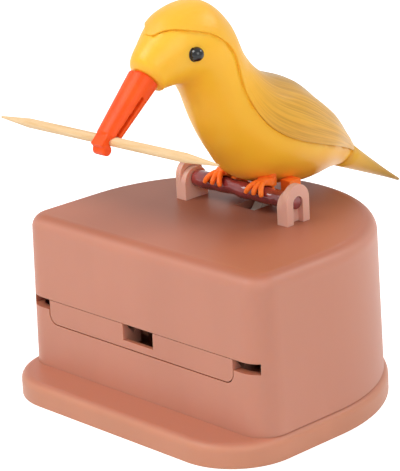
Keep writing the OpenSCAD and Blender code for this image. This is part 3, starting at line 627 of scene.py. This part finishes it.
class DISPENSER_OT_hood(bpy.types.Operator):
    """Drape the hood over head, back and wings"""

    bl_idname = "dispenser.hood"
    bl_label = "Hood and wings"

    def execute(self, context):
        sizes = context.scene.dispenser_sizes
        feather = []

        def place(u, v):
            t = HOOD_T0 + (HOOD_T1 - HOOD_T0) * u
            across = 1 - 2 * v
            feather.extend((t / LAST, abs(across), across))
            return skin_point(t, hood_half(t) * across, self.relief(t, abs(across), sizes))

        obj = mapped_grid(HOOD_ROWS, HOOD_COLUMNS, place)
        mark = obj.data.attributes.new("feather", "FLOAT_VECTOR", "POINT")
        mark.data.foreach_set("vector", feather)
        solid = obj.modifiers.new("Wall", "SOLIDIFY")
        solid.thickness = sizes.hood_thickness
        solid.offset = -1.0
        solid.use_even_offset = True
        rim = obj.modifiers.new("Rim", "BEVEL")
        rim.width = 0.18 * MM
        rim.segments = 2
        rim.limit_method = "ANGLE"
        rim.angle_limit = math.radians(50)
        apply_modifiers(obj)
        bpy.ops.object.mode_set(mode="EDIT")
        bpy.ops.mesh.select_all(action="SELECT")
        bpy.ops.mesh.normals_make_consistent(inside=False)
        bpy.ops.object.mode_set(mode="OBJECT")
        finish_piece(obj, "bird_hood", "bird", "olive", "back_shell", angle=50)
        return {"FINISHED"}

    @staticmethod
    def relief(t, side, sizes):
        """Height over the skin in mm: shoulders and feather lines, both on the wings only."""
        shoulder = SHOULDER_HEIGHT * band(t, 6.2, 7.2, 9.6, 10.8) * band(side, 0.12, 0.4, 0.75, 1.0)
        lines = math.sin(LINES_ROUND * side + LINES_ALONG * t) * band(t, 6.8, 7.6, 9.3, 10.6)
        calm = band(side, 0.1, 0.25, 0.6, 0.85)
        return sizes.hood_proud / MM + shoulder + lines * calm * sizes.feather_depth / MM


class DISPENSER_OT_tail(bpy.types.Operator):
    """Finish the tail that is set behind the body"""

    bl_idname = "dispenser.tail"
    bl_label = "Tail"

    def execute(self, context):
        obj = merged_copy("tail")
        finish_piece(obj, "bird_tail", "bird", "tail", "tail", angle=35)
        return {"FINISHED"}


class DISPENSER_OT_beak(bpy.types.Operator):
    """Soften the moulded beak with its slit and hook"""

    bl_idname = "dispenser.beak"
    bl_label = "Beak"

    def execute(self, context):
        obj = moulded_copy("beak", voxel_mm=0.16, rounds=5)
        finish_piece(obj, "bird_beak", "bird", "beak", "beak", angle=60)
        return {"FINISHED"}


class DISPENSER_OT_eyes(bpy.types.Operator):
    """Set the two glass-black eyes"""

    bl_idname = "dispenser.eyes"
    bl_label = "Eyes"

    def execute(self, context):
        sizes = context.scene.dispenser_sizes
        size = sizes.eye_size
        for side, node in ((-1, "eye_left"), (1, "eye_right")):
            low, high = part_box(node)
            centre = (low + high) / 2
            centre.x += side * sizes.eye_proud
            deselect()
            bpy.ops.mesh.primitive_uv_sphere_add(segments=48, ring_count=32, radius=size / 2)
            bead = context.object
            bpy.ops.transform.resize(value=(EYE_RIM, EYE_RIM, 1.0))
            bpy.ops.object.transform_apply(scale=True)
            bpy.ops.transform.rotate(
                value=math.radians(90), orient_axis="Y", center_override=(0, 0, 0))
            bpy.ops.mesh.primitive_torus_add(
                major_radius=size * COLLAR_RADIUS, minor_radius=size * COLLAR_THICKNESS,
                major_segments=48, minor_segments=12, rotation=(0, math.radians(90), 0),
                location=(-side * size * COLLAR_BACK, 0, 0))
            collar = context.object
            activate(bead)
            collar.select_set(True)
            bpy.ops.object.join()
            bpy.ops.transform.translate(value=centre)
            finish_piece(bead, "bird_" + node, "bird", "eye", node, angle=50)
        return {"FINISHED"}


class DISPENSER_OT_feet(bpy.types.Operator):
    """Soften the feet and the bar between them"""

    bl_idname = "dispenser.feet"
    bl_label = "Feet"

    def execute(self, context):
        for node, down, share in PRESSED:
            obj = moulded_copy(node, voxel_mm=0.11, rounds=6)
            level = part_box(node)[1].z - down * MM
            for vert in obj.data.vertices:
                vert.co.z = min(vert.co.z, level) + max(vert.co.z - level, 0) * share
            obj.data.update()
            finish_piece(obj, "bird_" + node, "bird", "feet", node, angle=60)
        return {"FINISHED"}


class DISPENSER_OT_branch(bpy.types.Operator):
    """Give the branch its knobs and hollows"""

    bl_idname = "dispenser.branch"
    bl_label = "Branch"

    def execute(self, context):
        sizes = context.scene.dispenser_sizes
        obj = moulded_copy("perch", voxel_mm=0.18, rounds=3)
        low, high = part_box("perch_clip_left")[1].x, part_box("perch_clip_right")[0].x
        begin, full = LUMPS_BEGIN * MM, LUMPS_FULL * MM
        for vert in obj.data.vertices:
            x = vert.co.x
            free = band(x, low + begin, low + full, high - full, high - begin)
            axis = Vector((x, 0, PERCH_Z * MM))
            out = vert.co - axis
            if out.length < 1e-6:
                continue
            lump = noise.noise(Vector((
                x * LUMPS_ALONG, out.y * LUMPS_ACROSS, out.z * LUMPS_ACROSS)))
            height = min(lump, LUMPS_CAP) * free * sizes.knob_height
            vert.co = axis + out * (1 + height / out.length * 2)
        obj.data.update()
        finish_piece(obj, "branch", "bird", "branch", "perch", angle=60)
        return {"FINISHED"}


class DISPENSER_OT_toothpick(bpy.types.Operator):
    """Finish the toothpick in the beak"""

    bl_idname = "dispenser.toothpick"
    bl_label = "Toothpick"

    def execute(self, context):
        tilt = context.scene.dispenser_sizes.pick_tilt
        obj = merged_copy("toothpick")
        low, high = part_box("toothpick")
        grip = (low + high) / 2
        bpy.ops.transform.rotate(value=tilt, orient_axis="Y", center_override=grip)
        bpy.ops.transform.translate(value=(PICK_SHIFT, 0, 0))
        finish_piece(obj, "held_toothpick", "toothpick", "wood", "toothpick", angle=40)
        return {"FINISHED"}


class DISPENSER_OT_stage(bpy.types.Operator):
    """Set the floor, the soft light and the camera"""

    bl_idname = "dispenser.stage"
    bl_label = "Stage"

    def execute(self, context):
        self.floor(context)
        self.world(context)
        for name, place, size, power in LAMPS:
            bpy.ops.object.light_add(type="AREA", location=place)
            lamp = context.object
            lamp.name = name
            lamp.data.energy = power
            lamp.data.size = size
            aim = Vector(LAMP_AIM) - Vector(place)
            lamp.rotation_euler = aim.to_track_quat("-Z", "Y").to_euler()
        self.camera(context)
        context.scene.view_settings.view_transform = "Standard"
        return {"FINISHED"}

    def floor(self, context):
        """Pale paper that keeps the object's shadow and looks white around it."""
        deselect()
        bpy.ops.mesh.primitive_plane_add(size=FLOOR_SIZE, location=(0, 0, FLOOR_Z))
        floor = context.object
        floor.name = "floor"
        paper = Shader("paper", 0.9, specular=0.1)
        grain = paper.noise(paper.place(), 900.0)
        paper.colour(paper.mix(grain, (0.87, 0.87, 0.87, 1), (0.85, 0.85, 0.85, 1)))
        paper.main.inputs["Emission Color"].default_value = (1, 1, 1, 1)
        lift = paper.node("ShaderNodeMath", operation="MULTIPLY")
        paper.link(self.seen(paper.tree), lift.inputs[0])
        lift.inputs[1].default_value = FLOOR_LIFT
        paper.link(lift.outputs[0], paper.main.inputs["Emission Strength"])
        floor.data.materials.append(paper.material)

    def world(self, context):
        """Soft light from all round, which is white where it is seen directly."""
        world = context.scene.world or bpy.data.worlds.new("studio")
        context.scene.world = world
        world.use_nodes = True
        tree = world.node_tree
        backdrop = tree.nodes["Background"]
        backdrop.inputs["Color"].default_value = (1, 1, 1, 1)
        strength = tree.nodes.new("ShaderNodeMapRange")
        strength.inputs["To Min"].default_value = WORLD_LIGHT
        strength.inputs["To Max"].default_value = WORLD_SEEN
        tree.links.new(self.seen(tree), strength.inputs["Value"])
        tree.links.new(strength.outputs["Result"], backdrop.inputs["Strength"])

    @staticmethod
    def seen(tree):
        """1 for rays by which the camera sees a thing directly, mirrored or through glass."""
        path = tree.nodes.new("ShaderNodeLightPath")
        value = path.outputs["Is Camera Ray"]
        for name in ("Is Glossy Ray", "Is Transmission Ray"):
            either = tree.nodes.new("ShaderNodeMath")
            either.operation = "MAXIMUM"
            tree.links.new(value, either.inputs[0])
            tree.links.new(path.outputs[name], either.inputs[1])
            value = either.outputs[0]
        return value

    @staticmethod
    def camera(context):
        """The photograph's viewpoint."""
        place = Vector(CAMERA_AT) * MM
        turn, height, roll = (math.radians(a) for a in CAMERA_ANGLES)
        forward = Vector((
            -math.sin(turn) * math.cos(height),
            math.cos(turn) * math.cos(height),
            -math.sin(height),
        ))
        right = Vector((math.cos(turn), math.sin(turn), 0))
        up = right.cross(forward)
        across = math.cos(roll) * right + math.sin(roll) * up
        upright = -math.sin(roll) * right + math.cos(roll) * up
        turned = Matrix((across, upright, -forward)).transposed().to_4x4()
        bpy.ops.object.camera_add(location=place)
        camera = context.object
        camera.matrix_world = Matrix.Translation(place) @ turned
        camera.data.sensor_width = SENSOR_MM
        camera.data.lens = FOCAL_PIXELS / FRAME_PIXELS * SENSOR_MM
        camera.data.clip_start, camera.data.clip_end = 0.01, 20
        context.scene.camera = camera


class DISPENSER_PT_panel(bpy.types.Panel):
    """The dispenser's sizes, colours and pieces"""

    bl_idname = "DISPENSER_PT_panel"
    bl_label = "Toothpick dispenser"
    bl_space_type = "VIEW_3D"
    bl_region_type = "UI"
    bl_category = "Dispenser"

    def draw(self, context):
        layout = self.layout
        for group in (context.scene.dispenser_sizes, context.scene.dispenser_colours):
            box = layout.box()
            for name in group.__annotations__:
                box.prop(group, name)
        for operator in OPERATORS:
            layout.operator(operator.bl_idname)


OPERATORS = (
    DISPENSER_OT_box, DISPENSER_OT_mechanism, DISPENSER_OT_body, DISPENSER_OT_hood,
    DISPENSER_OT_tail, DISPENSER_OT_beak, DISPENSER_OT_eyes, DISPENSER_OT_feet,
    DISPENSER_OT_branch, DISPENSER_OT_toothpick, DISPENSER_OT_stage,
)
CLASSES = (DispenserSizes, DispenserColours) + OPERATORS + (DISPENSER_PT_panel,)


def register():
    for cls in CLASSES:
        bpy.utils.register_class(cls)
    bpy.types.Scene.dispenser_sizes = bpy.props.PointerProperty(type=DispenserSizes)
    bpy.types.Scene.dispenser_colours = bpy.props.PointerProperty(type=DispenserColours)


def unregister():
    del bpy.types.Scene.dispenser_colours
    del bpy.types.Scene.dispenser_sizes
    for cls in reversed(CLASSES):
        bpy.utils.unregister_class(cls)


def main():
    register()
    bpy.ops.dispenser.stage()
    bpy.ops.dispenser.box()
    bpy.ops.dispenser.mechanism()
    bpy.ops.dispenser.body()
    bpy.ops.dispenser.hood()
    bpy.ops.dispenser.tail()
    bpy.ops.dispenser.beak()
    bpy.ops.dispenser.eyes()
    bpy.ops.dispenser.feet()
    bpy.ops.dispenser.branch()
    bpy.ops.dispenser.toothpick()


if __name__ == "__main__":
    main()
